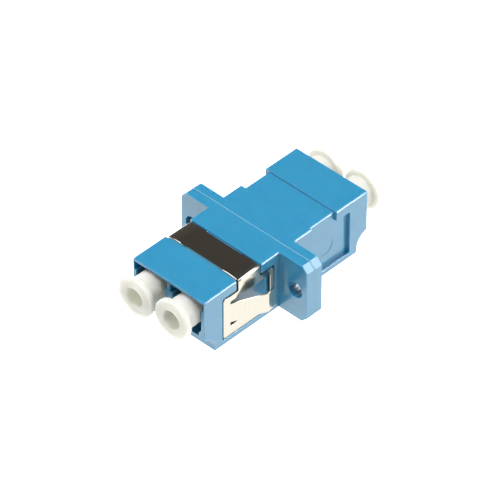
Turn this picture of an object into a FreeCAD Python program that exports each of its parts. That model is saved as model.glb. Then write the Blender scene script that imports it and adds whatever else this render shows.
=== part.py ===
import FreeCAD, Part
import os
from math import pi

import Sketcher
from FreeCAD import Placement, Rotation, Vector

# Duplex LC adapter with a flange, in millimetres.
# X runs across the two ports, -Y is the end that carries the panel clip, +Z is up.
# The origin is on the flange's mid plane, on the flat underside.
# Distances called reach, near or far run along the fibre axis from the flange's mid plane.

SIZES = [
    ("side_wall", 0.825, "wall between a port and the body's side"),
    ("roof_wall", 0.65, "wall above a port"),
    ("floor_wall", 0.8, "wall under the slot for the latch arm"),
    ("end_reach", 14.85, "mid plane to either end face"),
    ("edge_round", 0.25, "radius on the body's long edges"),
    ("end_round", 0.15, "radius around the end face"),
    ("flange_width", 22.0, "width over both ears"),
    ("flange_half", 1.4, "half of the flange's thickness"),
    ("ear_chamfer", 0.9, "chamfer on the four corners of the flange"),
    ("ear_round", 0.12, "radius on the flange's face edges"),
    ("screw_margin", 2.0, "middle of a screw hole to the end of its ear"),
    ("screw_hole", 2.4, "diameter of a screw hole"),
    ("seam_bevel", 0.06, "bevel of each half along the weld line"),
    ("groove_near", 4.6, "clip groove on top, edge nearer the flange"),
    ("groove_far", 9.1, "clip groove on top, edge further from the flange"),
    ("groove_depth", 0.3, "depth of the clip groove on top"),
    ("seat_near", 2.2, "clip seat on the side, edge nearer the flange"),
    ("seat_far", 11.6, "clip seat on the side, edge further from the flange"),
    ("seat_low", 0.95, "clip seat, lower edge"),
    ("seat_high", 7.75, "clip seat, upper edge"),
    ("seat_depth", 0.55, "depth of the clip seat on each side"),
    ("seat_corner", 0.3, "corner radius of the clip seat"),
    ("lip_round", 0.08, "radius on the rim of the clip seat"),
    ("mark_diameter", 2.7, "round ejector mark in the clip seat"),
    ("mark_depth", 0.04, "depth of the ejector mark"),
    ("mark_reach", 7.6, "place of the ejector mark along the body"),
    ("mark_height", 4.1, "height of the ejector mark"),
    ("scoop_depth", 1.95, "finger scoop, depth behind the end face"),
    ("scoop_radius", 2.2, "radius of the finger scoop"),
    ("scoop_foot", 0.75, "height of the scoop's upright foot"),
    ("port_pitch", 6.25, "distance between the two port axes"),
    ("port_side", 4.6, "inside width and height of a port"),
    ("port_corner", 0.25, "corner radius inside a port"),
    ("web_reach", 2.0, "floor of the ports"),
    ("mouth_step", 0.2, "how far a port's mouth stands back from the port all round"),
    ("mouth_depth", 2.6, "depth of a port's mouth"),
    ("relief_step", 0.375, "how far the relief along the mouth's top goes past each side"),
    ("relief_height", 1.25, "height of that relief"),
    ("latch_width", 4.1, "latch way under a port, width"),
    ("latch_depth", 1.2, "latch way under a port, depth below the port's floor"),
    ("latch_reach", 3.2, "latch way under a port, inner end"),
    ("latch_shoulder", 0.55, "height of the sloping step between mouth and latch way"),
    ("arm_width", 2.7, "slot for the latch arm, width"),
    ("arm_depth", 1.95, "slot for the latch arm, depth below the latch way's floor"),
    ("catch_near", 7.4, "catch window, inner end of its floor"),
    ("catch_far", 10.6, "catch window, face that holds the latch"),
    ("catch_depth", 1.25, "catch window, depth below the latch way's floor"),
    ("barrel_diameter", 2.9, "outside diameter of a sleeve barrel"),
    ("barrel_tip", 0.75, "length of a sleeve barrel past its bore"),
    ("funnel_wide", 1.9, "funnel in the tip of a sleeve barrel, outer diameter"),
    ("funnel_narrow", 1.4, "funnel in the tip of a sleeve barrel, inner diameter"),
    ("barrel_lead", 0.2, "chamfer on the tip of a sleeve barrel"),
    ("sleeve_length", 6.8, "length of a split sleeve"),
    ("sleeve_outer", 1.62, "outside diameter of a split sleeve"),
    ("sleeve_inner", 1.25, "bore of a split sleeve"),
    ("sleeve_slit", 0.25, "width of the slit in a split sleeve"),
    ("sleeve_play", 0.05, "end play of a split sleeve at each end"),
    ("sleeve_room", 0.09, "clearance all round a split sleeve in its barrel"),
    ("peg_diameter", 1.6, "locating peg on the weld face"),
    ("peg_length", 1.2, "length of the locating peg"),
    ("peg_offset", 3.6, "distance of the peg and its socket from the centre"),
    ("peg_height", 2.0, "height of the peg and its socket"),
    ("peg_play", 0.05, "clearance around and behind the peg"),
    ("cap_spacing", 0.35, "gap between the heads of two dust caps side by side"),
    ("cap_thickness", 0.8, "thickness of a dust cap's head"),
    ("cap_round", 0.22, "radius on the rim of a dust cap's head"),
    ("cap_play", 0.125, "clearance between a dust cap's tube and the port's walls"),
    ("cap_hole", 2.8, "blind hole in the face of a dust cap"),
    ("cap_hole_depth", 5.5, "depth of that blind hole"),
    ("cap_wall", 1.2, "wall between the blind hole and the bore"),
    ("cap_lead", 0.25, "chamfer on the inner end of a dust cap's tube"),
    ("cap_fit", 0.1, "clearance all round between cap and barrel"),
    ("cap_home", 2.6, "a seated cap's face beyond the end face"),
    ("cap_floor_gap", 0.05, "gap between a seated cap and the port floor"),
    ("pull_front_left", 0.35, "how far this cap is drawn out of its seat"),
    ("pull_front_right", 0.15, "how far this cap is drawn out of its seat"),
    ("pull_rear_left", 0.0, "how far this cap is drawn out of its seat"),
    ("pull_rear_right", 0.35, "how far this cap is drawn out of its seat"),
    ("sheet_thickness", 0.25, "thickness of the clip's sheet"),
    ("clip_bend", 0.2, "inside radius of the clip's two bends"),
    ("clip_inset", 0.05, "clip's side face behind the body's side face"),
    ("clip_gap", 0.15, "clip's clearance from the ends of its seat"),
    ("clip_head_gap", 0.37, "clearance above the clip's side frames"),
    ("clip_corner", 0.3, "corner radius of the clip's side frames"),
    ("strip_far", 0.35, "cross strip's clearance at the groove's far edge"),
    ("strip_near", 0.15, "cross strip's clearance at the groove's near edge"),
    ("waist_length", 6.0, "narrowed stretch of the cross strip"),
    ("waist_cut", 0.1, "how much that stretch is cut back on each edge"),
    ("bar_near", 0.55, "side frame's upright bar nearer the flange, width"),
    ("bar_far", 1.25, "side frame's upright bar further from the flange, width"),
    ("bar_low", 1.45, "side frame's lower bar, width"),
    ("bar_high", 0.9, "side frame's upper bar, width"),
    ("window_corner", 0.2, "corner radius of the window between the bars"),
    ("tang_low_gap", 0.6, "gap between the spring tang and the lower bar"),
    ("tang_high_gap", 0.38, "gap between the spring tang and the upper bar"),
    ("tang_flare", 2.0, "how far the tang's widest point stands out past the body"),
    ("tang_end", 1.25, "length of the tang from its widest point to its free end"),
    ("tang_return", 0.22, "how far the free end turns back in"),
    ("panel_room", 2.75, "flange's face to the tang's free end, where a panel goes"),
    ("tang_bend", 0.3, "inside radius of the bend at the widest point"),
]

doc = FreeCAD.newDocument("lc_adapter")
dims = doc.addObject("Spreadsheet::Sheet", "dims")
for row, (alias, number, note) in enumerate(SIZES, start=1):
    dims.set(f"A{row}", alias)
    dims.set(f"B{row}", str(number))
    dims.set(f"C{row}", note)
    dims.setAlias(f"B{row}", alias)
doc.recompute()


# Sizes that follow from the ones above.
BODY_WIDTH = "(dims.port_pitch + dims.port_side + 2 * dims.side_wall)"
LATCH_FLOOR = "(dims.floor_wall + dims.arm_depth)"
PORT_FLOOR = "(dims.floor_wall + dims.arm_depth + dims.latch_depth)"
PORT_HEIGHT = f"({PORT_FLOOR} + dims.port_side / 2)"
PORT_ROOF = f"({PORT_FLOOR} + dims.port_side)"
BODY_HEIGHT = f"({PORT_ROOF} + dims.roof_wall)"
HALF_WIDTH = f"({BODY_WIDTH} / 2)"
CLIP_UNDER = f"({BODY_HEIGHT} - dims.groove_depth)"
PORT_X = "dims.port_pitch / 2"

TINY = 1e-6  # a span or volume below this is none
CLOSE = 1e-4  # places this near each other are the same


def value(formula):
    return float(dims.evalExpression(formula))


# ---- sketches ----------------------------------------------------------------------------------


def new_sketch(body, name, plane, offset="0"):
    """A sketch on one of the body's own planes, moved along that plane's normal by a formula."""
    sketch = body.newObject("Sketcher::SketchObject", name)
    support = next(item for item in body.Origin.OriginFeatures if item.Role == plane)
    sketch.AttachmentSupport = [(support, "")]
    sketch.MapMode = "FlatFace"
    sketch.setExpression("AttachmentOffset.Base.z", offset)
    return sketch


def pin(sketch, geometry, point, across, up):
    """Holds one point of a sketch at two formulas."""
    for kind, formula in (("DistanceX", across), ("DistanceY", up)):
        index = sketch.addConstraint(Sketcher.Constraint(kind, geometry, point, value(formula)))
        sketch.setExpression(f"Constraints[{index}]", formula)


def add_outline(sketch, corners):
    """A closed outline of straight lines through corners, each a pair of formulas."""
    first = len(sketch.Geometry)
    points = [Vector(value(across), value(up), 0) for across, up in corners]
    ends = points[1:] + points[:1]
    for start, end in zip(points, ends):
        sketch.addGeometry(Part.LineSegment(start, end), False)
    for index, (across, up) in enumerate(corners):
        following = first + (index + 1) % len(corners)
        sketch.addConstraint(Sketcher.Constraint("Coincident", first + index, 2, following, 1))
        pin(sketch, first + index, 1, across, up)


def add_box(sketch, left, right, low, high):
    add_outline(sketch, [(left, low), (right, low), (right, high), (left, high)])


def add_round_box(sketch, left, right, low, high, radius):
    """A box with four quarter-round corners, run through anticlockwise from its lower edge."""
    first = len(sketch.Geometry)
    quarter = pi / 2
    # Each side: its two ends as formulas, then the centre of the corner that follows it.
    sides = [
        ((f"{left} + {radius}", low), (f"{right} - {radius}", low)),
        ((right, f"{low} + {radius}"), (right, f"{high} - {radius}")),
        ((f"{right} - {radius}", high), (f"{left} + {radius}", high)),
        ((left, f"{high} - {radius}"), (left, f"{low} + {radius}")),
    ]
    centres = [
        (f"{right} - {radius}", f"{low} + {radius}"),
        (f"{right} - {radius}", f"{high} - {radius}"),
        (f"{left} + {radius}", f"{high} - {radius}"),
        (f"{left} + {radius}", f"{low} + {radius}"),
    ]
    for index, (side, centre) in enumerate(zip(sides, centres)):
        start, end = (Vector(value(across), value(up), 0) for across, up in side)
        sketch.addGeometry(Part.LineSegment(start, end), False)
        middle = Vector(value(centre[0]), value(centre[1]), 0)
        circle = Part.Circle(middle, Vector(0, 0, 1), value(radius))
        sketch.addGeometry(Part.ArcOfCircle(circle, (index - 1) * quarter, index * quarter), False)
    for index, side in enumerate(sides):
        line = first + 2 * index
        arc = line + 1
        following = first + 2 * ((index + 1) % len(sides))
        sketch.addConstraint(Sketcher.Constraint("Coincident", line, 2, arc, 1))
        sketch.addConstraint(Sketcher.Constraint("Coincident", arc, 2, following, 1))
        pin(sketch, line, 1, *side[0])
        pin(sketch, line, 2, *side[1])
        size = sketch.addConstraint(Sketcher.Constraint("Radius", arc, value(radius)))
        sketch.setExpression(f"Constraints[{size}]", radius)


def add_circle(sketch, across, up, diameter):
    centre = Vector(value(across), value(up), 0)
    index = sketch.addGeometry(Part.Circle(centre, Vector(0, 0, 1), value(diameter) / 2), False)
    size = sketch.addConstraint(Sketcher.Constraint("Diameter", index, value(diameter)))
    sketch.setExpression(f"Constraints[{size}]", diameter)
    pin(sketch, index, 3, across, up)


# ---- features ----------------------------------------------------------------------------------


def finish_feature(feature, grows):
    """Recomputes and makes sure that the feature really added or removed material."""
    doc.recompute()
    before = feature.BaseFeature.Shape.Volume if feature.BaseFeature else 0.0
    change = feature.Shape.Volume - before
    if (change <= 0) == grows or not feature.Shape.isValid():
        raise RuntimeError(f"{feature.Name} changed the volume by {change:.4f}")
    return feature


def pad(body, name, sketch, length, reverse=False):
    feature = body.newObject("PartDesign::Pad", name)
    feature.Profile = sketch
    feature.Reversed = reverse
    feature.setExpression("Length", length)
    return finish_feature(feature, grows=True)


def pocket(body, name, sketch, length, reverse=False, symmetric=False, taper="0"):
    """Cuts along the sketch's normal when reverse is set, and against it otherwise."""
    feature = body.newObject("PartDesign::Pocket", name)
    feature.Profile = sketch
    feature.Reversed = reverse
    feature.SideType = "Symmetric" if symmetric else "One side"
    feature.setExpression("Length", length)
    feature.setExpression("TaperAngle", taper)
    return finish_feature(feature, grows=False)


def edge_names(feature, wanted):
    """Names of the feature's edges that pass a test."""
    edges = feature.Shape.Edges
    return [f"Edge{number}" for number, edge in enumerate(edges, start=1) if wanted(edge)]


def dress(body, kind, name, base, wanted, size):
    """A fillet or chamfer of one size on the wanted edges of the latest feature."""
    feature = body.newObject(f"PartDesign::{kind}", name)
    feature.Base = (base, edge_names(base, wanted))
    feature.setExpression("Radius" if kind == "Fillet" else "Size", size)
    doc.recompute()
    change = feature.Shape.Volume - base.Shape.Volume
    if not feature.Shape.isValid() or abs(change) < TINY:
        raise RuntimeError(f"{name} changed the volume by {change:.6f}")
    return feature


def lies_along(edge, axis):
    """True for a straight edge parallel to axis 0, 1 or 2."""
    box = edge.BoundBox
    spans = [box.XLength, box.YLength, box.ZLength]
    return all(span < TINY for index, span in enumerate(spans) if index != axis)


def lies_flat(edge):
    """True for an edge that lies in a plane square to the fibre axis."""
    return edge.BoundBox.YLength < TINY


def near(first, second):
    return abs(first - second) < CLOSE


# ---- the housing halves ------------------------------------------------------------------------

BEYOND = BODY_HEIGHT  # far enough for a cut to run out of the body


def flange_and_block(body):
    """The flange half with its ears and screw holes, and the block that holds the ports."""
    ear = "dims.flange_width / 2"
    inner = "(dims.flange_width / 2 - dims.ear_chamfer)"
    top = BODY_HEIGHT
    shoulder = f"{BODY_HEIGHT} - dims.ear_chamfer"
    outline = [
        (f"-{inner}", "0"),
        (inner, "0"),
        (ear, "dims.ear_chamfer"),
        (ear, shoulder),
        (inner, top),
        (f"-{inner}", top),
        (f"-{ear}", shoulder),
        (f"-{ear}", "dims.ear_chamfer"),
    ]
    sketch = new_sketch(body, "flange_outline", "XZ_Plane")
    add_outline(sketch, outline)
    for sign in ("-", ""):
        across = f"{sign}(dims.flange_width / 2 - dims.screw_margin)"
        add_circle(sketch, across, f"{BODY_HEIGHT} / 2", "dims.screw_hole")
    flange = pad(body, "flange", sketch, "dims.flange_half")
    face = -value("dims.flange_half")

    def around(level):
        """Picks the straight edges of the flange's outline that lie at one place along Y."""

        def test(edge):
            straight = edge.Curve.TypeId == "Part::GeomLine" and lies_flat(edge)
            return straight and near(edge.CenterOfMass.y, level)

        return test

    flange = dress(body, "Fillet", "ear_edges", flange, around(face), "dims.ear_round")
    dress(body, "Chamfer", "seam_line", flange, around(0.0), "dims.seam_bevel")

    sketch = new_sketch(body, "block_outline", "XZ_Plane", "dims.flange_half / 2")
    add_round_box(sketch, f"-{HALF_WIDTH}", HALF_WIDTH, "0", top, "dims.edge_round")
    block = pad(body, "block", sketch, "dims.end_reach - dims.flange_half / 2")
    end = -value("dims.end_reach")

    def around_end(edge):
        return lies_flat(edge) and near(edge.CenterOfMass.y, end)

    return dress(body, "Fillet", "end_edges", block, around_end, "dims.end_round")


def clip_seat(body):
    """The groove across the top and the recess on each side that take the panel clip."""
    sketch = new_sketch(body, "groove_outline", "YZ_Plane")
    above = f"{BODY_HEIGHT} + {BEYOND}"
    add_box(sketch, "-dims.groove_far", "-dims.groove_near", CLIP_UNDER, above)
    pocket(body, "groove", sketch, "dims.flange_width", symmetric=True)

    outline = [
        ("-dims.seat_far", "dims.seat_low"),
        ("-dims.seat_near", "dims.seat_low"),
        ("-dims.seat_near", "dims.seat_high"),
        ("-dims.groove_near", "dims.seat_high"),
        ("-dims.groove_near", above),
        ("-dims.groove_far", above),
        ("-dims.groove_far", "dims.seat_high"),
        ("-dims.seat_far", "dims.seat_high"),
    ]
    floor = f"({HALF_WIDTH} - dims.seat_depth)"
    for label, sign, outward in (("left", "-", False), ("right", "", True)):
        sketch = new_sketch(body, f"{label}_seat_outline", "YZ_Plane", f"{sign}{floor}")
        add_outline(sketch, outline)
        pocket(body, f"{label}_seat", sketch, HALF_WIDTH, reverse=outward)

    corners = [
        (-value(f"dims.{end}"), value(f"dims.{level}"))
        for end in ("seat_far", "seat_near")
        for level in ("seat_low", "seat_high")
    ]

    def in_corner(edge):
        middle = edge.CenterOfMass
        return lies_along(edge, 0) and any(near(middle.y, y) and near(middle.z, z) for y, z in corners)

    rounded = dress(body, "Fillet", "seat_corners", body.Tip, in_corner, "dims.seat_corner")

    side = value(HALF_WIDTH)
    top = value(BODY_HEIGHT)
    stretch = (-value("dims.seat_far") - CLOSE, -value("dims.seat_near") + CLOSE)

    def on_lip(edge):
        """Picks the rim of the groove and the seats where it meets the body's outside."""
        box = edge.BoundBox
        within = stretch[0] < box.YMin and box.YMax < stretch[1]
        across_top = near(box.ZMin, top) and near(box.ZMax, top)
        down_side = near(abs(box.XMin), side) and near(box.XMin, box.XMax)
        over_edge = edge.Curve.TypeId == "Part::GeomCircle" and lies_flat(edge) and near(box.ZMax, top)
        return within and (across_top or down_side or over_edge)

    rounded = dress(body, "Fillet", "seat_lips", rounded, on_lip, "dims.lip_round")
    for label, sign, outward in (("left", "-", False), ("right", "", True)):
        offset = f"{sign}({HALF_WIDTH} - dims.seat_depth - dims.mark_depth)"
        sketch = new_sketch(body, f"{label}_mark_outline", "YZ_Plane", offset)
        add_circle(sketch, "-dims.mark_reach", "dims.mark_height", "dims.mark_diameter")
        rounded = pocket(body, f"{label}_mark", sketch, "dims.seat_depth", reverse=outward)
    return rounded


def finger_scoop(body):
    """The hollow along the lower edge of the end face that leaves room for the latch."""
    foot = "-(dims.end_reach - dims.scoop_depth)"
    sketch = new_sketch(body, "scoop_round_outline", "YZ_Plane")
    add_circle(sketch, f"{foot} - dims.scoop_radius", "dims.scoop_foot", "2 * dims.scoop_radius")
    pocket(body, "scoop_round", sketch, "dims.flange_width", symmetric=True)
    sketch = new_sketch(body, "scoop_foot_outline", "YZ_Plane")
    add_box(sketch, f"{foot} - dims.scoop_radius", foot, f"-{BEYOND}", "dims.scoop_foot")
    return pocket(body, "scoop_foot_cut", sketch, "dims.flange_width", symmetric=True)


def port_boxes(body, name, reach, width, low, high, length, radius=None, signs=("-", "")):
    """One opening in or under each port, from a distance off the mid plane outwards."""
    sketch = new_sketch(body, f"{name}_outline", "XZ_Plane", reach)
    for sign in signs:
        sides = (f"{sign}{PORT_X} - {width} / 2", f"{sign}{PORT_X} + {width} / 2")
        if radius:
            add_round_box(sketch, *sides, low, high, radius)
        else:
            add_box(sketch, *sides, low, high)
    return pocket(body, name, sketch, length, reverse=True)


def port_mouths(body, mouth_reach):
    """The stepped mouth of each port, as wide below as the latch way, with sloping shoulders."""
    low = f"{PORT_FLOOR} - dims.mouth_step"
    high = f"{PORT_ROOF} + dims.mouth_step"
    shoulder = f"{low} + dims.latch_shoulder"
    half = "(dims.port_side / 2 + dims.mouth_step)"
    sketch = new_sketch(body, "mouth_outline", "XZ_Plane", mouth_reach)
    for sign in ("-", ""):
        centre = f"{sign}{PORT_X}"
        outline = [
            (f"{centre} - {half}", shoulder),
            (f"{centre} - dims.latch_width / 2", low),
            (f"{centre} + dims.latch_width / 2", low),
            (f"{centre} + {half}", shoulder),
            (f"{centre} + {half}", high),
            (f"{centre} - {half}", high),
        ]
        add_outline(sketch, outline)
    pocket(body, "mouth", sketch, "dims.end_reach", reverse=True)
    width = f"2 * ({half} + dims.relief_step)"
    low = f"{high} - dims.relief_height"
    for label, sign in (("left", "-"), ("right", "")):
        name = f"{label}_relief"
        port_boxes(body, name, mouth_reach, width, low, high, "dims.end_reach", signs=(sign,))


def ports(body):
    """Two ports with their mouths, latch ways, arm slots and catch windows."""
    to_end = "dims.end_reach"
    sides = (PORT_FLOOR, PORT_ROOF)
    port_boxes(body, "port", "dims.web_reach", "dims.port_side", *sides, to_end, "dims.port_corner")
    port_mouths(body, "dims.end_reach - dims.mouth_depth")
    wide = "dims.latch_width"
    port_boxes(body, "latch_way", "dims.latch_reach", wide, LATCH_FLOOR, PORT_HEIGHT, to_end)
    floor = "dims.floor_wall"
    port_boxes(body, "arm_slot", "dims.catch_near", "dims.arm_width", floor, LATCH_FLOOR, to_end)
    floor = f"{LATCH_FLOOR} - dims.catch_depth"
    length = "dims.catch_far - dims.catch_near"
    return port_boxes(body, "catch_window", "dims.catch_near", wide, floor, LATCH_FLOOR, length)


def barrels(body):
    """The moulded barrels that stand in the ports and hold the split sleeves."""
    bore_depth = "(dims.sleeve_length / 2 + dims.sleeve_play)"
    reach = f"{bore_depth} + dims.barrel_tip"
    sketch = new_sketch(body, "barrel_outline", "XZ_Plane")
    for sign in ("-", ""):
        add_circle(sketch, f"{sign}{PORT_X}", PORT_HEIGHT, "dims.barrel_diameter")
    solid = pad(body, "barrel", sketch, reach)
    tip = -value(reach)

    def around_tip(edge):
        return lies_flat(edge) and near(edge.CenterOfMass.y, tip)

    solid = dress(body, "Chamfer", "barrel_lead_in", solid, around_tip, "dims.barrel_lead")
    sketch = new_sketch(body, "barrel_bore_outline", "XZ_Plane")
    for sign in ("-", ""):
        bore = "dims.sleeve_outer + 2 * dims.sleeve_room"
        add_circle(sketch, f"{sign}{PORT_X}", PORT_HEIGHT, bore)
    pocket(body, "barrel_bore", sketch, bore_depth, reverse=True)
    sketch = new_sketch(body, "funnel_outline", "XZ_Plane", bore_depth)
    for sign in ("-", ""):
        add_circle(sketch, f"{sign}{PORT_X}", PORT_HEIGHT, "dims.funnel_narrow")
    slope = "atan((dims.funnel_wide - dims.funnel_narrow) / 2 / dims.barrel_tip)"
    return pocket(body, "funnel", sketch, "dims.barrel_tip", reverse=True, taper=slope)


def weld_face(body):
    """A peg and a socket that locate the two halves on each other."""
    sketch = new_sketch(body, "socket_outline", "XZ_Plane")
    add_circle(sketch, "-dims.peg_offset", "dims.peg_height", "dims.peg_diameter + 2 * dims.peg_play")
    pocket(body, "socket", sketch, "dims.peg_length + dims.peg_play", reverse=True)
    sketch = new_sketch(body, "peg_outline", "XZ_Plane")
    add_circle(sketch, "dims.peg_offset", "dims.peg_height", "dims.peg_diameter")
    return pad(body, "peg", sketch, "dims.peg_length", reverse=True)


def housing(label, turn):
    """One half of the housing, built towards -Y and then turned about Z by so many degrees."""
    body = doc.addObject("PartDesign::Body", label)
    body.Label = label
    flange_and_block(body)
    clip_seat(body)
    finger_scoop(body)
    ports(body)
    barrels(body)
    weld_face(body)
    body.Placement = Placement(Vector(0, 0, 0), Rotation(Vector(0, 0, 1), turn))
    return body


# ---- split sleeves -----------------------------------------------------------------------------


def split_sleeve(label, sign):
    """A ceramic tube slit along its top, centred on its own origin along Y."""
    body = doc.addObject("PartDesign::Body", label)
    body.Label = label
    sketch = new_sketch(body, f"{label}_ring", "XZ_Plane", "-dims.sleeve_length / 2")
    add_circle(sketch, "0", "0", "dims.sleeve_outer")
    add_circle(sketch, "0", "0", "dims.sleeve_inner")
    pad(body, f"{label}_tube", sketch, "dims.sleeve_length")
    sketch = new_sketch(body, f"{label}_slit_outline", "XZ_Plane")
    add_box(sketch, "-dims.sleeve_slit / 2", "dims.sleeve_slit / 2", "0", "dims.sleeve_outer")
    pocket(body, f"{label}_slit", sketch, "2 * dims.sleeve_length", symmetric=True)
    body.setExpression("Placement.Base.x", f"{sign}{PORT_X}")
    body.setExpression("Placement.Base.z", PORT_HEIGHT)
    return body


# ---- dust caps ---------------------------------------------------------------------------------

CAP_LENGTH = "(dims.end_reach + dims.cap_home - dims.web_reach - dims.cap_floor_gap)"
CAP_HEAD = "((dims.port_pitch - dims.cap_spacing) / 2)"
CAP_TUBE = "(dims.port_side / 2 - dims.cap_play)"


def dust_cap(label, sign, pull, front):
    """A turned shape on the port's axis: face at its own origin, tube running inwards."""
    body = doc.addObject("PartDesign::Body", label)
    body.Label = label
    bore = "dims.barrel_diameter / 2 + dims.cap_fit"
    web_end = "dims.cap_hole_depth + dims.cap_wall"
    profile = [
        ("dims.cap_hole / 2", "0"),
        (CAP_HEAD, "0"),
        (CAP_HEAD, "dims.cap_thickness"),
        (CAP_TUBE, "dims.cap_thickness"),
        (CAP_TUBE, f"{CAP_LENGTH} - dims.cap_lead"),
        (f"{CAP_TUBE} - dims.cap_lead", CAP_LENGTH),
        (bore, CAP_LENGTH),
        (bore, web_end),
        ("0", web_end),
        ("0", "dims.cap_hole_depth"),
        ("dims.cap_hole / 2", "dims.cap_hole_depth"),
    ]
    sketch = new_sketch(body, f"{label}_profile", "XY_Plane")
    add_outline(sketch, profile)
    turned = body.newObject("PartDesign::Revolution", f"{label}_turned")
    turned.Profile = sketch
    turned.ReferenceAxis = (sketch, ["V_Axis"])
    turned.Angle = 360.0
    finish_feature(turned, grows=True)
    head = value(f"2 * {CAP_HEAD}")
    hole = value("dims.cap_hole")

    def on_rim(edge):
        """Picks both edges of the head's rim and the outer edge of the blind hole."""
        box = edge.BoundBox
        at_hole = near(box.XLength, hole) and near(box.YMin, 0.0)
        return lies_flat(edge) and (near(box.XLength, head) or at_hole)

    dress(body, "Fillet", f"{label}_rim", turned, on_rim, "dims.cap_round")
    body.setExpression("Placement.Base.x", f"{sign}{PORT_X}")
    body.setExpression("Placement.Base.z", PORT_HEIGHT)
    outside = f"(dims.end_reach + dims.cap_home + dims.{pull})"
    if front:
        body.setExpression("Placement.Base.y", f"-{outside}")
    else:
        body.setExpression("Placement.Base.y", outside)
        body.Placement.Rotation = Rotation(Vector(0, 0, 1), 180)
    return body


# ---- panel clip --------------------------------------------------------------------------------

CLIP_FACE = f"({HALF_WIDTH} - dims.clip_inset)"
CLIP_BACK = f"({HALF_WIDTH} - dims.clip_inset - dims.sheet_thickness)"
CLIP_TOP = f"({CLIP_UNDER} + dims.sheet_thickness)"
FRAME_HIGH = "(dims.seat_high - dims.clip_head_gap)"
FRAME_LOW = "(dims.seat_low + dims.clip_inset)"
FRAME_NEAR = "(dims.seat_near + dims.clip_gap)"
FRAME_FAR = "(dims.seat_far - dims.clip_gap)"
STRIP_NEAR = "(dims.groove_near + dims.strip_near)"
STRIP_FAR = "(dims.groove_far - dims.strip_far)"
WINDOW_NEAR = f"({FRAME_NEAR} + dims.bar_near)"
WINDOW_FAR = f"({FRAME_FAR} - dims.bar_far)"
WINDOW_LOW = f"({FRAME_LOW} + dims.bar_low)"
WINDOW_HIGH = f"({FRAME_HIGH} - dims.bar_high)"
TANG_TIP = "(dims.flange_half + dims.panel_room)"
TANG_PEAK = f"({TANG_TIP} + dims.tang_end)"


def cross_strip(body):
    """The strip over the top with its two bends and legs."""
    foot = WINDOW_HIGH
    outline = [
        (f"-{CLIP_FACE}", foot),
        (f"-{CLIP_BACK}", foot),
        (f"-{CLIP_BACK}", CLIP_UNDER),
        (CLIP_BACK, CLIP_UNDER),
        (CLIP_BACK, foot),
        (CLIP_FACE, foot),
        (CLIP_FACE, CLIP_TOP),
        (f"-{CLIP_FACE}", CLIP_TOP),
    ]
    sketch = new_sketch(body, "strip_outline", "XZ_Plane", STRIP_NEAR)
    add_outline(sketch, outline)
    strip = pad(body, "strip", sketch, f"{STRIP_FAR} - {STRIP_NEAR}")
    under = value(CLIP_UNDER)
    top = value(CLIP_TOP)
    back = value(CLIP_BACK)
    face = value(CLIP_FACE)

    def inside_bend(edge):
        spot = edge.CenterOfMass
        return lies_along(edge, 1) and near(spot.z, under) and near(abs(spot.x), back)

    def outside_bend(edge):
        spot = edge.CenterOfMass
        return lies_along(edge, 1) and near(spot.z, top) and near(abs(spot.x), face)

    bent = dress(body, "Fillet", "inside_bends", strip, inside_bend, "dims.clip_bend")
    outer_radius = "dims.clip_bend + dims.sheet_thickness"
    dress(body, "Fillet", "outside_bends", bent, outside_bend, outer_radius)

    sketch = new_sketch(body, "waist_outline", "XY_Plane", CLIP_UNDER)
    half = "dims.waist_length / 2"
    for edge in (STRIP_NEAR, STRIP_FAR):
        cut = (f"-{edge} - dims.waist_cut", f"-{edge} + dims.waist_cut")
        add_box(sketch, f"-{half}", half, *cut)
    return pocket(body, "waist", sketch, "dims.sheet_thickness", reverse=True)


def side_frames(body):
    """The flat frame on each side, with the window that its tang is cut from."""
    for label, sign, outward in (("left", "-", True), ("right", "", False)):
        sketch = new_sketch(body, f"{label}_frame_outline", "YZ_Plane", f"{sign}{CLIP_BACK}")
        frame_sides = (f"-{FRAME_FAR}", f"-{FRAME_NEAR}", FRAME_LOW, FRAME_HIGH)
        add_round_box(sketch, *frame_sides, "dims.clip_corner")
        pad(body, f"{label}_frame", sketch, "dims.sheet_thickness", reverse=outward)
        sketch = new_sketch(body, f"{label}_window_outline", "YZ_Plane", f"{sign}{CLIP_BACK}")
        window_sides = (f"-{WINDOW_FAR}", f"-{WINDOW_NEAR}", WINDOW_LOW, WINDOW_HIGH)
        add_round_box(sketch, *window_sides, "dims.window_corner")
        pocket(body, f"{label}_window", sketch, "dims.sheet_thickness", reverse=not outward)


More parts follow.
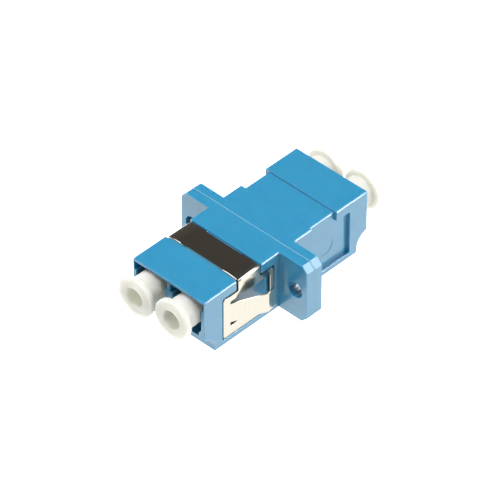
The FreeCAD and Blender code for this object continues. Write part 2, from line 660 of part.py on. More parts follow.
def tangs(body):
    """The spring tang on each side: it leaves the frame at its far end and flares towards the flange."""
    flare = f"({HALF_WIDTH} + dims.tang_flare)"
    root = f"-({FRAME_FAR} + {WINDOW_FAR}) / 2"
    low = f"({WINDOW_LOW} + dims.tang_low_gap)"
    high = f"({WINDOW_HIGH} - dims.tang_high_gap)"
    for label, sign in (("left", "-"), ("right", "")):
        outline = [
            (f"{sign}{CLIP_BACK}", root),
            (f"{sign}{CLIP_FACE}", root),
            (f"{sign}{CLIP_FACE}", f"-{WINDOW_FAR}"),
            (f"{sign}{flare}", f"-{TANG_PEAK}"),
            (f"{sign}({flare} - dims.tang_return)", f"-{TANG_TIP}"),
            (f"{sign}({flare} - dims.tang_return - dims.sheet_thickness)", f"-{TANG_TIP}"),
            (f"{sign}({flare} - dims.sheet_thickness)", f"-{TANG_PEAK}"),
            (f"{sign}{CLIP_BACK}", f"-{WINDOW_FAR}"),
        ]
        sketch = new_sketch(body, f"{label}_tang_outline", "XY_Plane", low)
        add_outline(sketch, outline)
        tang = pad(body, f"{label}_tang", sketch, f"{high} - {low}")
    peak = -value(TANG_PEAK)

    def at_peak(across):
        """Picks the upright edges of both tangs at their widest point, on one face of the sheet."""

        def test(edge):
            spot = edge.CenterOfMass
            return lies_along(edge, 2) and near(spot.y, peak) and near(abs(spot.x), value(across))

        return test

    outer_radius = "dims.tang_bend + dims.sheet_thickness"
    bent = dress(body, "Fillet", "tang_outside", tang, at_peak(flare), outer_radius)
    inside = at_peak(f"{flare} - dims.sheet_thickness")
    return dress(body, "Fillet", "tang_inside", bent, inside, "dims.tang_bend")


def panel_clip():
    body = doc.addObject("PartDesign::Body", "panel_clip")
    body.Label = "panel_clip"
    cross_strip(body)
    side_frames(body)
    tangs(body)
    return body


# ---- the whole adapter -------------------------------------------------------------------------

subparts = [
    housing("front_housing", 0),
    housing("rear_housing", 180),
    split_sleeve("left_split_sleeve", "-"),
    split_sleeve("right_split_sleeve", ""),
    dust_cap("front_left_dust_cap", "-", "pull_front_left", front=True),
    dust_cap("front_right_dust_cap", "", "pull_front_right", front=True),
    dust_cap("rear_left_dust_cap", "-", "pull_rear_left", front=False),
    dust_cap("rear_right_dust_cap", "", "pull_rear_right", front=False),
    panel_clip(),
]
doc.recompute()

for item in doc.Objects:
    if "Invalid" in item.State or "Error" in item.State:
        raise RuntimeError(f"{item.Label} is {item.State}")
for subpart in subparts:
    shape = subpart.Shape
    if shape.isNull() or not shape.isValid() or len(shape.Solids) != 1:
        raise RuntimeError(f"{subpart.Label} isn't one valid solid")

os.makedirs("parts", exist_ok=True)
for subpart in subparts:
    subpart.Shape.exportStep(os.path.join("parts", f"{subpart.Label}.step"))
    print(f"{subpart.Label}: {subpart.Shape.Volume:.2f} mm3")
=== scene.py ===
from math import atan2, cos, radians, sin

import bmesh
import bpy
from mathutils import Matrix, Vector, noise


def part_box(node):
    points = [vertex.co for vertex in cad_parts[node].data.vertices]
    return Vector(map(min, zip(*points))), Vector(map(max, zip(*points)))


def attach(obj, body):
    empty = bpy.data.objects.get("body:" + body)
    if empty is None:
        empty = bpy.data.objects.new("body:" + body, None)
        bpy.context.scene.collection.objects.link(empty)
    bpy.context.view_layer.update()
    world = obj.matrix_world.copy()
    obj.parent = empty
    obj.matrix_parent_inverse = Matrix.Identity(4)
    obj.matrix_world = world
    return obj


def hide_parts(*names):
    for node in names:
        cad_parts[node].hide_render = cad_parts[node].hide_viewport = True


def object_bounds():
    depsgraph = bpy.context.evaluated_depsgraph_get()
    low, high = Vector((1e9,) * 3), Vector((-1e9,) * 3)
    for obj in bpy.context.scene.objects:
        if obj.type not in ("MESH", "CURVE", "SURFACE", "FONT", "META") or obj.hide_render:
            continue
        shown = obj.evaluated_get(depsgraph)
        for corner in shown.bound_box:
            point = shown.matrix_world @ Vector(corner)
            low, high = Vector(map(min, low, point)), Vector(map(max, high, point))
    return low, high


bl_info = {
    "name": "Duplex LC adapter",
    "version": (1, 0, 0),
    "blender": (4, 5, 0),
    "location": "View3D > Sidebar > Adapter",
    "description": "Finishes a fibre adapter's moulded halves, clip, sleeves and dust caps",
    "category": "Object",
}

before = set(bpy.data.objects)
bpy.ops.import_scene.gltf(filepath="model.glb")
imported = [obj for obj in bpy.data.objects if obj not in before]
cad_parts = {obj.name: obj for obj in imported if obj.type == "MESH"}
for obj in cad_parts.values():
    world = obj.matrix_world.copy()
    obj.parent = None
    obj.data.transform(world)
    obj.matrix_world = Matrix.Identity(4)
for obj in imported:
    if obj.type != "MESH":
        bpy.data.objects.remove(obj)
CAD_LOW, CAD_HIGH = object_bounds()
MM = 0.001
HOUSINGS = ("front_housing", "rear_housing")
SLEEVES = ("left_split_sleeve", "right_split_sleeve")
CAPS = ("front_left_dust_cap", "front_right_dust_cap", "rear_left_dust_cap", "rear_right_dust_cap")
CLIP = "panel_clip"

# Angles in degrees: the least corner that stays sharp in shading, what still counts as flat, and
# the least corners to break on a moulding and on square-cut edges.
SMOOTH_ANGLE = 38
FLAT_ANGLE = 0.6
MOULDED_CORNER = 50
SQUARE_CORNER = 60

# The least area shaded flat, how near two points are to be one, on a turned shape and on a copy,
# and how much of a face's normal lies along an axis that the face looks along.
FLAT_FACE = MM ** 2
TOUCHING = 0.001 * MM
SAME_PLACE = 0.0002 * MM
FACING = 0.9

# Breaks on the mouldings, in metres: the shortest edge and narrowest face that take one, where the
# surface is cut clear of the flange's blend, and how deep the weld line may lie at the ends.
SHORT_EDGE = 0.6 * MM
NARROW_FACE = 0.2 * MM
CLEAR_OF_FLANGE = 1.5 * MM
WELD_DEPTH = 0.1 * MM

# Where the clip's recess lies on the front half, in millimetres.
WALL_ACROSS = (5.85, 6.24)
WALL_ALONG = (-11.65, -2.15)
WALL_UP = (0.85, 9.19)
GROOVE_ALONG = (-9.0, -4.5)

# The clip's own places, in millimetres: the band over the top, where it sags towards its bends,
# the ends of its legs, and the height under which a face that looks up is torn steel painted dark
# as the shade under the tang.
BAND_FRONT = -8.5
BAND_TOP = 9.0
BAND_UNDER = 8.65
BAND_MIDDLE = -6.75
BAND_HALF = 1.9
SAG_START = 4.1
SAG_REACH = 1.65
SAG_CUTS = (4.2, 4.5, 4.8, 5.1, 5.35, 5.55)
LEG_END = 2.0
WINDOW_FLOOR = 3.0

# Where the seat's long corners lie on the rear half, and how long they are at least, in
# millimetres.
SEAT_ACROSS = (5.6, 6.2)
SEAT_UP = (8.5, 9.15)
SEAT_LONG = 1.0

# A dust cap's small tapers and roundings, in metres, how finely it is turned, and how its rim
# wanders: as far back as this share of the head, in broad and fine lobes, each cap on its own.
CAP_STEPS = 112
HOLE_TAPER = 0.05 * MM
HOLE_LIP = 0.03 * MM
HOLE_RIM = 0.45 * MM
HEAD_TAPER = 0.02 * MM
HOLE_FLOOR_ROUND = 0.3 * MM
HOLE_EDGE_ROUND = 0.06 * MM
HEAD_FACE_ROUND = 0.2 * MM
HEAD_BACK_ROUND = 0.14 * MM
TUBE_END_ROUND = 0.1 * MM
LEAD_ROUND = 0.08 * MM
BORE_FLOOR_ROUND = 0.2 * MM
ON_RING = 0.002 * MM
HEAD_ZONE = 1.4
BROAD_LOBES = 1.5
FINE_LOBES = 5
CAP_SEED = 7.3
FINE_SEED = 40

# The stage: how far the floor spreads and lies below the part, the sky from the horizon up, and
# each light's name, power setting, place, size, tint and whether it lights matt or glossy surfaces.
FLOOR_HALF = 3.0
FLOOR_DROP = 0.02 * MM
SKY = ((0.0, (0.5, 0.5, 0.49)), (0.45, (0.13, 0.12, 0.11)), (0.7, (0.075, 0.07, 0.066)))
WHITE = (1, 1, 1)
WARM = (1, 0.99, 0.97)
LIGHTS = (
    ("top_light", "top_power", (-0.08, -0.05, 0.5), (0.3, 0.3), WARM, "matt"),
    ("top_gleam", "gleam_power", (-0.08, -0.05, 0.5), (0.3, 0.3), WARM, "gloss"),
    ("edge_light", "edge_power", (0.2, 0.33, 0.445), (0.32, 0.17), WHITE, "gloss"),
    ("side_light", "side_power", (-0.31, -0.36, 0.366), (0.3, 0.16), WHITE, "gloss"),
    ("rim_light", "rim_power", (0.4, 0.33, 0.31), (0.3, 0.16), WHITE, "gloss"),
    ("corner_light", "corner_power", (0.48, 0.33, 0.16), (0.3, 0.14), WHITE, "gloss"),
    ("sky_light", "sky_power", (0.03, 0.325, 0.5), (0.3, 0.2), WHITE, "gloss"),
    ("fill_light", "fill_power", (0.45, 0.18, 0.15), (0.25, 0.15), WHITE, "matt"),
)


# ---- what a user can change ---------------------------------------------------------------------


def colour(name, description, default):
    return bpy.props.FloatVectorProperty(
        name=name, description=description, default=default, size=3, subtype="COLOR", min=0, max=1
    )


def share(name, description, default):
    return bpy.props.FloatProperty(
        name=name, description=description, default=default, min=0, max=1, subtype="FACTOR"
    )


def length(name, description, default):
    return bpy.props.FloatProperty(
        name=name, description=description, default=default, min=0, unit="LENGTH", precision=6
    )


def number(name, description, default):
    return bpy.props.FloatProperty(name=name, description=description, default=default)


class AdapterHousingSettings(bpy.types.PropertyGroup):
    """The blue moulded halves."""

    base: colour("Blue", "Colour of the moulding", (0.024, 0.200, 0.352))
    deep: colour("Deep blue", "Colour where the pigment lies thicker", (0.018, 0.170, 0.305))
    roughness: share("Roughness", "How dull the satin surface is", 0.21)
    gloss: share("Gloss", "How strongly the surface mirrors what is round it", 1.0)
    grain: length("Grain", "Size of the fine grain left by the mould", 0.13 * MM)
    relief: length("Relief", "Depth of that grain", 0.0008 * MM)
    break_edge: length("Broken edge", "Radius that the mould leaves on a sharp corner", 0.08 * MM)
    seat_round: length("Seat round", "Radius where the clip's seat turns down each side", 0.2 * MM)
    glow: share("Glow", "How much light the plastic lets through near its edges", 0.45)
    glow_depth: length("Glow depth", "How far light travels inside the plastic", 1.2 * MM)


class AdapterClipSettings(bpy.types.PropertyGroup):
    """The folded spring clip."""

    steel: colour("Steel", "Colour of the rolled sheet", (0.525, 0.507, 0.447))
    roughness: share("Roughness", "How dull the rolled sheet is", 0.16)
    streak: length("Streak", "Width of the fine lines left by rolling", 0.05 * MM)
    warp: length("Warp", "How far the sheet strays from flat", 0.015 * MM)
    sag: length("Sag", "How far the band falls towards its two bends", 0.13 * MM)
    proud: length("Proud", "How far the sprung band stands up in its recess", 0.04 * MM)
    trim: length("Trim", "How far the sheared outline stays clear of its recess", 0.05 * MM)
    coined: length("Coined edge", "Width of the chamfer along the band's front edge", 0.06 * MM)
    break_edge: length("Broken edge", "Width of the burnished break on the cut edges", 0.048 * MM)


class AdapterCapSettings(bpy.types.PropertyGroup):
    """The dust caps."""

    milk: colour("Milk white", "Colour of the soft polymer", (0.47, 0.47, 0.445))
    roughness: share("Roughness", "How dull the soft polymer is", 0.55)
    sheen: share("Sheen", "How strongly the soft polymer mirrors the lights", 0.2)
    depth: length("Depth", "How far light travels inside the polymer", 4.4 * MM)
    tube: length("Tube", "Diameter of the tube", 4.35 * MM)
    head: length("Head", "Thickness of the head", 0.8 * MM)
    hole: length("Hole", "Diameter of the blind hole in the face", 2.8 * MM)
    hole_depth: length("Hole depth", "Depth of that blind hole", 5.5 * MM)
    bore: length("Bore", "Diameter of the bore that slips over the barrel", 3.1 * MM)
    bore_start: length("Bore start", "From the face to where that bore starts", 6.7 * MM)
    lead: length("Lead", "Chamfer on the inner end of the tube", 0.25 * MM)
    wander: length("Wander", "How far the soft rim strays from a true circle", 0.05 * MM)


class AdapterSleeveSettings(bpy.types.PropertyGroup):
    """The split sleeves inside the barrels."""

    ceramic: colour("Ceramic", "Colour of the ground ceramic", (0.86, 0.85, 0.81))
    roughness: share("Roughness", "How dull the ground ceramic is", 0.18)


class AdapterStageSettings(bpy.types.PropertyGroup):
    """Camera, floor and lights."""

    azimuth: number("Azimuth", "Camera's direction round the part, in degrees", 43.746)
    elevation: number("Elevation", "Camera's height above the horizon, in degrees", 41.257)
    roll: number("Roll", "Camera's tilt about its own axis, in degrees", 0.127)
    distance: length("Distance", "Camera to the middle of the part", 0.6149)
    lens: number("Lens", "Focal length in millimetres", 350.3)
    shift_x: number("Shift across", "Camera's shift across the picture", -0.00225)
    shift_y: number("Shift up", "Camera's shift up the picture", 0.0028)
    aim_height: length("Aim height", "Height of the point the camera looks at", 4.65 * MM)
    floor_glow: number("Floor glow", "Brightness of the lit white floor", 1.75)
    top_power: number("Top light", "Power of the soft light overhead, in watts", 5.1)
    gleam_power: number("Top gleam", "Power of the overhead light in a gloss, in watts", 0.9)
    edge_power: number("Edge light", "Power of the strip high behind on the right, in watts", 1.5)
    side_power: number("Side light", "Power of the strip in front on the left, in watts", 0.5)
    rim_power: number("Rim light", "Power of the soft light behind on the right, in watts", 0.75)
    corner_power: number("Corner light", "Power of the low light along the corners, in watts", 3.3)
    fill_power: number("Fill light", "Power of the low diffuse light on the right, in watts", 1.3)
    sky_power: number("Sky light", "Power of the dim broad light high behind, in watts", 0.15)


GROUPS = {
    "adapter_housing": AdapterHousingSettings,
    "adapter_clip": AdapterClipSettings,
    "adapter_cap": AdapterCapSettings,
    "adapter_sleeve": AdapterSleeveSettings,
    "adapter_stage": AdapterStageSettings,
}


# ---- node helpers -------------------------------------------------------------------------------


def new_material(name):
    """A node material with a Principled shader. Returns the material and its shader."""
    material = bpy.data.materials.new(name)
    material.use_nodes = True
    return material, material.node_tree.nodes["Principled BSDF"]


def link(owner, source, target):
    """Joins two sockets of a material's or the world's nodes."""
    owner.node_tree.links.new(source, target)


def stretched_noise(material, scale, detail, roughness=0.5):
    """Noise on Object coordinates with its own scale along X, Y and Z."""
    nodes = material.node_tree.nodes
    where = nodes.new("ShaderNodeTexCoord")
    mapping = nodes.new("ShaderNodeMapping")
    mapping.inputs["Scale"].default_value = scale
    lumps = nodes.new("ShaderNodeTexNoise")
    lumps.inputs["Scale"].default_value = 1.0
    lumps.inputs["Detail"].default_value = detail
    lumps.inputs["Roughness"].default_value = roughness
    link(material, where.outputs["Object"], mapping.inputs["Vector"])
    link(material, mapping.outputs["Vector"], lumps.inputs["Vector"])
    return lumps


def even_noise(material, size, detail):
    """Noise on Object coordinates whose lumps are about this large, in metres."""
    return stretched_noise(material, (1 / size,) * 3, detail)


def ramp(owner, source, stops):
    """A colour ramp on source, with its stops as places and colours."""
    node = owner.node_tree.nodes.new("ShaderNodeValToRGB")
    node.color_ramp.elements[0].position = stops[0][0]
    node.color_ramp.elements[1].position = stops[-1][0]
    for place, _ in stops[1:-1]:
        node.color_ramp.elements.new(place)
    for element, (place, shade) in zip(node.color_ramp.elements, stops):
        element.color = (*shade, 1)
    link(owner, source, node.inputs["Fac"])
    return node.outputs["Color"]


def spread(material, source, low, high, start=0, end=1):
    """Turns a signal that runs from start to end into a value from low to high."""
    node = material.node_tree.nodes.new("ShaderNodeMapRange")
    node.inputs["From Min"].default_value = start
    node.inputs["From Max"].default_value = end
    node.inputs["To Min"].default_value = low
    node.inputs["To Max"].default_value = high
    link(material, source, node.inputs["Value"])
    return node.outputs["Result"]


def relief(material, shader, source, depth):
    """Bump of a given depth in metres. Returns its node, so that several can be chained."""
    bump = material.node_tree.nodes.new("ShaderNodeBump")
    bump.inputs["Distance"].default_value = depth
    link(material, source, bump.inputs["Height"])
    link(material, bump.outputs["Normal"], shader.inputs["Normal"])
    return bump


# ---- materials ----------------------------------------------------------------------------------


def dimmed(shade, share_kept):
    """A colour with each part cut to a share."""
    return tuple(share_kept * part for part in shade)


def moulded_blue(look):
    """Satin blue moulding: a fine spark-eroded grain and a faint drift in colour and gloss."""
    material, shader = new_material("moulded_blue")
    grain = even_noise(material, look.grain, 2)
    drift = even_noise(material, 2.5 * MM, 2)
    grain_over_drift = 1.6
    both = material.node_tree.nodes.new("ShaderNodeMath")
    both.operation = "MULTIPLY_ADD"
    both.inputs[1].default_value = grain_over_drift
    link(material, grain.outputs["Fac"], both.inputs[0])
    link(material, drift.outputs["Fac"], both.inputs[2])
    pigment = spread(material, both.outputs["Value"], 0.3, 1.2, start=0.9, end=1.7)
    shades = ramp(material, pigment, ((0.0, look.deep), (1.0, look.base)))
    link(material, shades, shader.inputs["Base Color"])
    gloss = even_noise(material, 0.6 * MM, 3)
    low, high = look.roughness - 0.04, look.roughness + 0.04
    link(material, spread(material, gloss.outputs["Fac"], low, high), shader.inputs["Roughness"])
    shader.inputs["IOR"].default_value = 1.53
    shader.inputs["Specular IOR Level"].default_value = look.gloss
    shader.inputs["Subsurface Weight"].default_value = look.glow
    shader.inputs["Subsurface Radius"].default_value = (0.15, 0.7, 1.0)
    shader.inputs["Subsurface Scale"].default_value = look.glow_depth
    relief(material, shader, grain.outputs["Fac"], look.relief)
    return material


def rolled_steel(look):
    """Bright rolled spring sheet with fine lines that run along the folded strip."""
    material, shader = new_material("rolled_steel")
    shader.inputs["Metallic"].default_value = 1.0
    line = 1 / look.streak
    drawn_out = line / 60
    streaks = stretched_noise(material, (drawn_out, line, drawn_out), 3, 0.6)
    dull = dimmed(look.steel, 0.93)
    shades = ramp(material, streaks.outputs["Fac"], ((0.3, dull), (0.7, look.steel)))
    link(material, shades, shader.inputs["Base Color"])
    low, high = look.roughness - 0.04, look.roughness + 0.05
    link(material, spread(material, streaks.outputs["Fac"], low, high), shader.inputs["Roughness"])
    fine = relief(material, shader, streaks.outputs["Fac"], 0.0009 * MM)
    waves = even_noise(material, 3.2 * MM, 0)
    warp = relief(material, shader, waves.outputs["Fac"], look.warp)
    link(material, warp.outputs["Normal"], fine.inputs["Normal"])
    link(material, fine.outputs["Normal"], shader.inputs["Normal"])
    return material


def sheared_steel(look):
    """The sheet's cut edges: torn dull by the punch, and painted dark as the shade that the tang
    casts on the window's floor.
    """
    material, shader = new_material("sheared_steel")
    shader.inputs["Metallic"].default_value = 1.0
    tears = stretched_noise(material, (4000, 20000, 20000), 3, 0.6)
    # Painted shade: the steel's colour cut to a fifth and two fifths, for the window's floor under
    # the tang.
    dark, light = dimmed(look.steel, 0.2), dimmed(look.steel, 0.4)
    shades = ramp(material, tears.outputs["Fac"], ((0.3, dark), (0.7, light)))
    link(material, shades, shader.inputs["Base Color"])
    shader.inputs["Roughness"].default_value = 0.5
    relief(material, shader, tears.outputs["Fac"], 0.003 * MM)
    return material


def milky_polymer(look):
    """Soft translucent polymer of the dust caps."""
    material, shader = new_material("milky_polymer")
    cloud = even_noise(material, 1.6 * MM, 2)
    dull = dimmed(look.milk, 0.965)
    shades = ramp(material, cloud.outputs["Fac"], ((0.35, dull), (0.65, look.milk)))
    link(material, shades, shader.inputs["Base Color"])
    shader.inputs["Roughness"].default_value = look.roughness
    shader.inputs["IOR"].default_value = 1.5
    shader.inputs["Specular IOR Level"].default_value = look.sheen
    shader.inputs["Subsurface Weight"].default_value = 1.0
    shader.inputs["Subsurface Radius"].default_value = (1.0, 1.0, 0.85)
    shader.inputs["Subsurface Scale"].default_value = look.depth
    grain = even_noise(material, 0.25 * MM, 2)
    relief(material, shader, grain.outputs["Fac"], 0.004 * MM)
    return material


def ground_ceramic(look):
    """Ground white ceramic with faint rings from grinding."""
    material, shader = new_material("ground_ceramic")
    rings = stretched_noise(material, (200, 12000, 200), 2)
    dull = dimmed(look.ceramic, 0.96)
    shades = ramp(material, rings.outputs["Fac"], ((0.35, dull), (0.65, look.ceramic)))
    link(material, shades, shader.inputs["Base Color"])
    shader.inputs["Roughness"].default_value = look.roughness
    relief(material, shader, rings.outputs["Fac"], 0.001 * MM)
    return material


def dress(node, material):
    """Gives a CAD node its material."""
    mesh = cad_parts[node].data
    mesh.materials.clear()
    mesh.materials.append(material)


# ---- pieces -------------------------------------------------------------------------------------


def make_piece(context, name, shape, material, body, node, flat_from=1.0):
    """Turns a bmesh into a finished piece that stands for a CAD node and rides on its body.

    Faces larger than flat_from, in square metres, are shaded flat.
    """
    mesh = bpy.data.meshes.new(name)
    shape.to_mesh(mesh)
    shape.free()
    mesh.materials.append(material)
    mesh.set_sharp_from_angle(angle=radians(SMOOTH_ANGLE))
    for face in mesh.polygons:
        face.use_smooth = face.area < flat_from
    piece = bpy.data.objects.new(name, mesh)
    context.scene.collection.objects.link(piece)
    even = piece.modifiers.new("even_normals", "WEIGHTED_NORMAL")
    even.keep_sharp = True
    even.weight = 100
    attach(piece, body)
    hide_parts(node)
    return piece


def merged_copy(node):
    """A CAD node's surface with its loose triangles merged and its flat faces made whole."""
    shape = bmesh.new()
    shape.from_mesh(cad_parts[node].data)
    bmesh.ops.remove_doubles(shape, verts=shape.verts, dist=SAME_PLACE)
    bmesh.ops.dissolve_limit(
        shape, angle_limit=radians(FLAT_ANGLE), use_dissolve_boundaries=False, verts=shape.verts,
        edges=shape.edges
    )
    return shape


def within(value, span):
    """True for a value between a span's two ends."""
    return span[0] < value < span[1]


def held(value, least, most):
    """The value, kept from least to most."""
    return min(max(value, least), most)


def is_corner(edge, least_angle):
    """True for an outside corner sharper than least_angle degrees."""
    return edge.is_manifold and edge.is_convex and edge.calc_face_angle(0) > radians(least_angle)


def borders_clip(edge):
    """True for an edge of the recess that the clip lies in, which the tool leaves sharp."""
    for face in edge.link_faces:
        across, along, up = face.calc_center_bounds() / MM
        level_with_leg = within(up, WALL_UP) and within(along, WALL_ALONG)
        beside_leg = within(abs(across), WALL_ACROSS) and level_with_leg
        across_band = abs(face.normal.y) > FACING and within(along, GROOVE_ALONG)
        if beside_leg or across_band:
            return True
    return False


def is_slight(edge):
    """True for an edge that is too short, or between faces too narrow, to take a full break."""
    reach = edge.calc_length()
    narrow = any(face.calc_area() < NARROW_FACE * reach for face in edge.link_faces)
    return reach < SHORT_EDGE or narrow


def bevel(shape, edges, width, segments, clamp_overlap=False):
    """Bevels some edges evenly to a width."""
    bmesh.ops.bevel(
        shape, geom=edges, offset=width, offset_type="OFFSET", affect="EDGES", segments=segments,
        profile=0.5, material=-1, clamp_overlap=clamp_overlap
    )


def cut_across(shape, place, axis):
    """Cuts the whole surface on a plane through place, square to axis."""
    bmesh.ops.bisect_plane(
        shape, geom=shape.verts[:] + shape.edges[:] + shape.faces[:], dist=0, plane_co=place,
        plane_no=axis
    )


def break_edges(shape, width, least_angle, leave):
    """Rounds the corners sharper than least_angle degrees, apart from those that leave() picks."""
    sharp = [edge for edge in shape.edges if is_corner(edge, least_angle) and not leave(edge)]
    bevel(shape, sharp, width, 2)


def hold_corners(shape):
    """Cuts the surface just clear of the flange, so its blend doesn't bend the corners' shading."""
    for side in (-1, 1):
        cut_across(shape, (0, side * CLEAR_OF_FLANGE, 0), (0, 1, 0))


def flush_ends(shape):
    """Brings the weld line level with the two end faces of the flange, where it was wiped flat."""
    for point in shape.verts:
        if abs(point.co.y) < TOUCHING and CAD_HIGH[0] - WELD_DEPTH < abs(point.co.x):
            point.co.x = CAD_HIGH[0] if point.co.x > 0 else CAD_LOW[0]


def lies_along_seat(point):
    """True for a point on one of the seat's two long corners."""
    return within(abs(point.co.x / MM), SEAT_ACROSS) and within(point.co.z / MM, SEAT_UP)


def round_seat(shape, radius):
    """Rounds the two long corners of the clip's seat, on the half that carries no clip."""
    corners = [
        edge for edge in shape.edges
        if is_corner(edge, SQUARE_CORNER) and all(lies_along_seat(end) for end in edge.verts)
        and edge.calc_length() > SEAT_LONG * MM
    ]
    if not corners:
        raise RuntimeError("the clip's seat has no corner to round")
    bevel(shape, corners, radius, 5)


def chamfer_band(shape, width):
    """A flat chamfer along the band's front edge, where the sheet was coined."""
    front = [
        edge for edge in shape.edges
        if is_corner(edge, SQUARE_CORNER)
        and all(end.co.z > BAND_TOP * MM and end.co.y < BAND_FRONT * MM for end in edge.verts)
    ]
    bevel(shape, front, width, 1)


def settle_clip(shape, look):
    """Lets the band sag towards its bends, as sprung sheet does, and trims its outline."""
    for place in SAG_CUTS:
        for side in (-1, 1):
            cut_across(shape, (side * place * MM, 0, 0), (1, 0, 0))
    for point in shape.verts:
        across, along, up = point.co / MM
        if up > BAND_UNDER:
            sag = held((abs(across) - SAG_START) / SAG_REACH, 0, 1)
            point.co.z += look.proud - look.sag * sag ** 2
        point.co.y -= look.trim * held((along - BAND_MIDDLE) / BAND_HALF, -1, 1)
        point.co.z += look.trim * held(LEG_END - up, 0, 1)


def on_ring(point, along, radius):
    """True for a point on the circle about Y at this place and radius."""
    out = Vector((point.co.x, point.co.z)).length
    return abs(point.co.y - along) < ON_RING and abs(out - radius) < ON_RING


def turned(corners, steps):
    """A closed shape turned about Y from corners given as place along Y, radius and rounding."""
    shape = bmesh.new()
    points = [shape.verts.new((radius, along, 0)) for along, radius, _ in corners]
    edges = [shape.edges.new(pair) for pair in zip(points, points[1:])]
    bmesh.ops.spin(
        shape, geom=points + edges, cent=(0, 0, 0), axis=(0, 1, 0), angle=radians(360), steps=steps,
        use_merge=True
    )
    bmesh.ops.remove_doubles(shape, verts=shape.verts, dist=TOUCHING)
    for along, radius, rounding in corners:
        if rounding:
            ring = [
                edge for edge in shape.edges
                if all(on_ring(end, along, radius) for end in edge.verts)
            ]
            bevel(shape, ring, rounding, 5, clamp_overlap=True)
    return shape


def soften_rim(shape, node, look, head_radius):
    """Draws a cap's rim in here and there, because soft polymer doesn't cool to a true circle."""
    tube = look.tube / 2
    seed = CAPS.index(node) * CAP_SEED
    for point in shape.verts:
        out = Vector((point.co.x, point.co.z)).length
        if out > tube and point.co.y < look.head * HEAD_ZONE:
            turn = atan2(point.co.z, point.co.x)
            across, up = cos(turn), sin(turn)
            lump = noise.noise(Vector((BROAD_LOBES * across, BROAD_LOBES * up, seed)))
            fine = noise.noise(Vector((FINE_LOBES * across, FINE_LOBES * up, seed + FINE_SEED)))
            inward = look.wander * held(0.5 + 0.9 * lump + 0.35 * fine, 0, 1)
            inward *= (out - tube) / (head_radius - tube)
            point.co.x -= inward * across
            point.co.z -= inward * up
            point.co.y += 0.3 * inward * (1 - point.co.y / look.head)


def soft_cap(node, look):
    """One dust cap: a flanged tube with a blind hole, softened like a part of flexible polymer."""
    low, high = (Vector(corner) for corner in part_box(node))
    head_radius = (high.x - low.x) / 2
    reach = high.y - low.y
    tube, hole, bore = look.tube / 2, look.hole / 2, look.bore / 2
    corners = (
        (look.hole_depth, 0, 0),
        (look.hole_depth, hole - HOLE_TAPER, HOLE_FLOOR_ROUND),
        (HOLE_LIP, hole, HOLE_EDGE_ROUND),
        (0, hole + HOLE_RIM, 0),
        (0, head_radius, HEAD_FACE_ROUND),
        (look.head, head_radius - HEAD_TAPER, HEAD_BACK_ROUND),
        (look.head, tube, HEAD_BACK_ROUND),
        (reach - look.lead, tube, TUBE_END_ROUND),
        (reach, tube - look.lead, LEAD_ROUND),
        (reach, bore, LEAD_ROUND),
        (look.bore_start, bore, BORE_FLOOR_ROUND),
        (look.bore_start, 0, 0),
    )
    shape = turned(corners, CAP_STEPS)
    soften_rim(shape, node, look, head_radius)
    across, up = (low.x + high.x) / 2, (low.z + high.z) / 2
    if node.startswith("front"):
        place = Matrix.Translation((across, low.y, up))
    else:
        place = Matrix.Translation((across, high.y, up)) @ Matrix.Scale(-1, 4, (0, 1, 0))
    bmesh.ops.transform(shape, matrix=place, verts=shape.verts)
    bmesh.ops.recalc_face_normals(shape, faces=shape.faces)
    return shape


# ---- stage --------------------------------------------------------------------------------------


def make_world(context):
    """Dark overhead, brighter towards the horizon."""
    world = bpy.data.worlds.new("studio")
    world.use_nodes = True
    nodes = world.node_tree.nodes
    where = nodes.new("ShaderNodeTexCoord")
    parts = nodes.new("ShaderNodeSeparateXYZ")
    link(world, where.outputs["Generated"], parts.inputs["Vector"])
    link(world, ramp(world, parts.outputs["Z"], SKY), nodes["Background"].inputs["Color"])
    context.scene.world = world


def make_floor(context, glow):
    """A broad white floor that is lit until it burns out."""
    shape = bmesh.new()
    place = Matrix.Translation((0, 0, -FLOOR_DROP))
    bmesh.ops.create_grid(shape, x_segments=1, y_segments=1, size=FLOOR_HALF, matrix=place)
    mesh = bpy.data.meshes.new("floor")
    shape.to_mesh(mesh)
    shape.free()
    floor = bpy.data.objects.new("floor", mesh)
    context.scene.collection.objects.link(floor)
    material, shader = new_material("white_floor")
    shader.inputs["Base Color"].default_value = (0.06, 0.06, 0.059, 1)
    shader.inputs["Roughness"].default_value = 0.9
    shader.inputs["Emission Color"].default_value = (1.0, 0.985, 0.95, 1)
    shader.inputs["Emission Strength"].default_value = glow
    mesh.materials.append(material)


def looking(direction):
    """A turn that points a camera or a light, which look down their own -Z, in a direction."""
    return direction.to_track_quat("-Z", "Y").to_matrix().to_4x4()


def make_light(context, name, place, target, size, power, tint, lit):
    """A rectangular soft light at a place, facing a target, that lights matt or glossy surfaces."""
    data = bpy.data.lights.new(name, "AREA")
    data.shape = "RECTANGLE"
    data.size, data.size_y = size
    data.energy = power
    data.color = tint
    light = bpy.data.objects.new(name, data)
    light.matrix_world = Matrix.Translation(place) @ looking(target - place)
    light.visible_diffuse = lit == "matt"
    light.visible_glossy = lit == "gloss"
    context.scene.collection.objects.link(light)


def make_camera(context, stage):
    """The camera, placed by its direction, distance and lens."""
    turn, rise = radians(stage.azimuth), radians(stage.elevation)
    back = Vector((sin(turn) * cos(rise), -cos(turn) * cos(rise), sin(rise)))
    target = Vector((0, 0, stage.aim_height))
    data = bpy.data.cameras.new("camera")
    data.lens = stage.lens
    data.shift_x, data.shift_y = stage.shift_x, stage.shift_y
    data.clip_start, data.clip_end = 0.01, 20
    camera = bpy.data.objects.new("camera", data)
    aimed = looking(-back) @ Matrix.Rotation(radians(stage.roll), 4, "Z")
    camera.matrix_world = Matrix.Translation(target + back * stage.distance) @ aimed
    context.scene.collection.objects.link(camera)
    context.scene.camera = camera


# ---- operators ----------------------------------------------------------------------------------


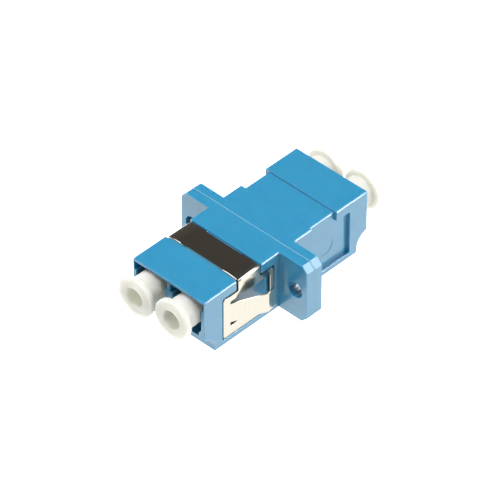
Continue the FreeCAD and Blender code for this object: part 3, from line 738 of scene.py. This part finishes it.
class ADAPTER_OT_housings(bpy.types.Operator):
    """Finish the two moulded halves"""

    bl_idname = "adapter.housings"
    bl_label = "Moulded halves"

    def execute(self, context):
        look = context.scene.adapter_housing
        material = moulded_blue(look)
        for node in HOUSINGS:
            shape = merged_copy(node)
            if node == "rear_housing":
                round_seat(shape, look.seat_round)
            hold_corners(shape)
            carries_clip = node == "front_housing"
            break_edges(
                shape, look.break_edge, MOULDED_CORNER,
                lambda edge: is_slight(edge) or (carries_clip and borders_clip(edge))
            )
            flush_ends(shape)
            name = node.replace("housing", "moulded_half")
            make_piece(context, name, shape, material, "adapter", node, FLAT_FACE)
        return {"FINISHED"}


class ADAPTER_OT_clip(bpy.types.Operator):
    """Finish the folded panel clip"""

    bl_idname = "adapter.clip"
    bl_label = "Panel clip"

    def execute(self, context):
        look = context.scene.adapter_clip
        shape = merged_copy(CLIP)
        settle_clip(shape, look)
        # Faces that look up low in the window take the second material: torn steel with painted
        # shade, darkened for the shade under the tang.
        for face in shape.faces:
            low = face.calc_center_bounds().z < WINDOW_FLOOR * MM
            face.material_index = int(face.normal.z > FACING and low)
        chamfer_band(shape, look.coined)
        break_edges(shape, look.break_edge, SQUARE_CORNER, lambda edge: False)
        material = rolled_steel(look)
        clip = make_piece(context, "folded_clip", shape, material, "adapter", CLIP)
        clip.data.materials.append(sheared_steel(look))
        return {"FINISHED"}


class ADAPTER_OT_sleeves(bpy.types.Operator):
    """Finish the two split sleeves"""

    bl_idname = "adapter.sleeves"
    bl_label = "Split sleeves"

    def execute(self, context):
        material = ground_ceramic(context.scene.adapter_sleeve)
        for node in SLEEVES:
            dress(node, material)
        return {"FINISHED"}


class ADAPTER_OT_caps(bpy.types.Operator):
    """Finish the four dust caps"""

    bl_idname = "adapter.caps"
    bl_label = "Dust caps"

    def execute(self, context):
        look = context.scene.adapter_cap
        material = milky_polymer(look)
        for node in CAPS:
            where = node.removesuffix("_dust_cap")
            name, body = f"{where}_soft_cap", f"{where}_cap"
            make_piece(context, name, soft_cap(node, look), material, body, node)
        return {"FINISHED"}


class ADAPTER_OT_stage(bpy.types.Operator):
    """Set up the floor, lights and camera"""

    bl_idname = "adapter.stage"
    bl_label = "Floor, lights and camera"

    def execute(self, context):
        stage = context.scene.adapter_stage
        centre = Vector((0, 0, stage.aim_height))
        context.scene.view_settings.view_transform = "Standard"
        make_world(context)
        make_floor(context, stage.floor_glow)
        for name, setting, place, size, tint, lit in LIGHTS:
            power = getattr(stage, setting)
            make_light(context, name, Vector(place), centre, size, power, tint, lit)
        make_camera(context, stage)
        return {"FINISHED"}


OPERATORS = (
    ADAPTER_OT_housings,
    ADAPTER_OT_clip,
    ADAPTER_OT_sleeves,
    ADAPTER_OT_caps,
    ADAPTER_OT_stage,
)


class ADAPTER_PT_sidebar(bpy.types.Panel):
    """Lists the adapter's pieces and the stage"""

    bl_idname = "ADAPTER_PT_sidebar"
    bl_label = "Adapter"
    bl_space_type = "VIEW_3D"
    bl_region_type = "UI"
    bl_category = "Adapter"

    def draw(self, context):
        for operator in OPERATORS:
            self.layout.operator(operator.bl_idname)
        for name in GROUPS:
            box = self.layout.box()
            settings = getattr(context.scene, name)
            for field in settings.bl_rna.properties:
                if field.identifier not in ("rna_type", "name"):
                    box.prop(settings, field.identifier)


def register():
    for group in GROUPS.values():
        bpy.utils.register_class(group)
    for name, group in GROUPS.items():
        setattr(bpy.types.Scene, name, bpy.props.PointerProperty(type=group))
    for operator in OPERATORS:
        bpy.utils.register_class(operator)
    bpy.utils.register_class(ADAPTER_PT_sidebar)


def unregister():
    bpy.utils.unregister_class(ADAPTER_PT_sidebar)
    for operator in reversed(OPERATORS):
        bpy.utils.unregister_class(operator)
    for name, group in GROUPS.items():
        delattr(bpy.types.Scene, name)
        bpy.utils.unregister_class(group)


def main():
    register()
    bpy.ops.adapter.housings()
    bpy.ops.adapter.clip()
    bpy.ops.adapter.sleeves()
    bpy.ops.adapter.caps()
    bpy.ops.adapter.stage()


if __name__ == "__main__":
    main()
